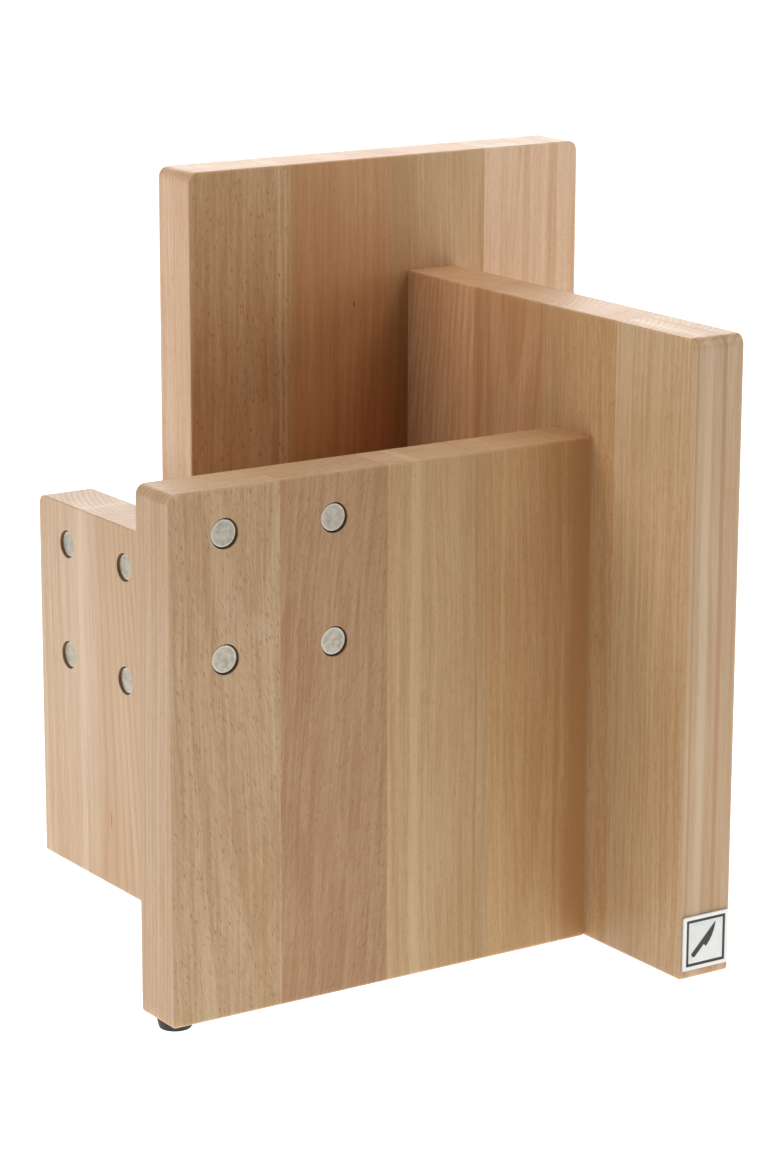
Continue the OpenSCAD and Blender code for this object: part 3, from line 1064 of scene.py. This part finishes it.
def seen_paper(name, glow):
    """Plain white paper, matt, with a faint tooth and an even light of its own."""
    paper = Finish(name)
    x, y, z = paper.millimetres()
    tooth = paper.noise(paper.vector(x / 4, y / 4, z / 4))
    return paper.finished(Base_Color=PAPER_GREY, Roughness=0.9, Normal=paper.bump(tooth, 0.05 * MM),
                          Emission_Color=rgb(1, 1, 1), Emission_Strength=glow)


def bounce_card():
    """Pale floor that lights the block from below: its own light falls with the distance from the
    block, and there is none inside the well."""
    card = Finish("bounce_card")
    x, y, z = card.split(card.node("ShaderNodeTexCoord", output="Object"))
    away = (x * x + y * y).root()
    outside = x.magnitude().larger(y.magnitude()).rise(WELL_HALF, WELL_HALF + 5 * MM)
    glow = (GLOW_NEAR + away.rise(NEAR, FAR) * (GLOW_FAR - GLOW_NEAR)) * outside
    return card.finished(Base_Color=PAPER_GREY, Roughness=0.9,
                         Emission_Color=card.vector(glow, glow, glow), Emission_Strength=1.0)


def staged(name, patch, finish, seen):
    """A stage surface that only the camera sees, or one that only lights the block."""
    points, quads = patch
    mesh = bpy.data.meshes.new(name)
    mesh.from_pydata(points.tolist(), [], quads.tolist())
    mesh.materials.append(finish)
    thing = bpy.data.objects.new(name, mesh)
    thing.visible_camera = seen
    thing.visible_diffuse = thing.visible_glossy = thing.visible_transmission = not seen
    thing.visible_shadow = False
    bpy.context.scene.collection.objects.link(thing)


def soft_light(name, size, place, power):
    """A large square lamp at place, facing the block."""
    lamp = bpy.data.lights.new(name, "AREA")
    lamp.shape = "SQUARE"
    lamp.size = size
    lamp.energy = power
    holder = bpy.data.objects.new(name, lamp)
    holder.location = place
    holder.rotation_euler = (LIT - Vector(place)).to_track_quat("-Z", "Y").to_euler()
    holder.visible_camera = False
    bpy.context.scene.collection.objects.link(holder)


square = FLOOR_HALF * np.array([[[-1, -1, 0], [1, -1, 0]], [[-1, 1, 0], [1, 1, 0]]], float)
sines, cosines = arc(-90, 90, 24)
ball = turned(BACKDROP_R * np.stack([cosines, sines], axis=1))
staged("floor", grid_patch(square), seen_paper("floor_paper", FLOOR_GLOW), seen=True)
staged("bounce", grid_patch(square), bounce_card(), seen=False)
staged("backdrop", ball, seen_paper("backdrop_paper", BACKDROP_GLOW), seen=True)

room = bpy.data.worlds.new("room")
room.use_nodes = True
room.node_tree.nodes["Background"].inputs["Strength"].default_value = WORLD_LIGHT
bpy.context.scene.world = room
bpy.context.scene.view_settings.view_transform = "Standard"

# What the lamps face, and each lamp's width (m), place (m) and power (W)
LIT = Vector((0, 0, 0.15))
soft_light("left_softbox", 2.2, (-2.7, 0.7, 1.9), 62)
soft_light("back_softbox", 2.6, (1.7, 3.0, 1.7), 67)
soft_light("top_softbox", 1.2, (0.1, 0.2, 3.0), 15)
soft_light("front_softbox", 1.8, (1.4, -1.9, 2.6), 32)
soft_light("right_softbox", 1.8, (2.9, -1.0, 0.9), 41)

# Camera: looking right of +Y and down from the front left
CAMERA_AT = (-0.8211, -1.2468, 0.5256)
CAMERA_RIGHT_OF_Y = math.radians(33.669)
CAMERA_DOWN = math.radians(14.222)
CAMERA_ROLL = math.radians(0.197)
CAMERA_LENS = 112.39

lens = bpy.data.cameras.new("camera")
lens.lens = CAMERA_LENS
lens.sensor_width = 36
lens.clip_end = 60
camera = bpy.data.objects.new("camera", lens)
turn = (Matrix.Rotation(-CAMERA_RIGHT_OF_Y, 4, "Z") @ Matrix.Rotation(math.pi / 2 - CAMERA_DOWN, 4, "X")
        @ Matrix.Rotation(CAMERA_ROLL, 4, "Z"))
camera.matrix_world = Matrix.Translation(CAMERA_AT) @ turn
bpy.context.scene.collection.objects.link(camera)
bpy.context.scene.camera = camera
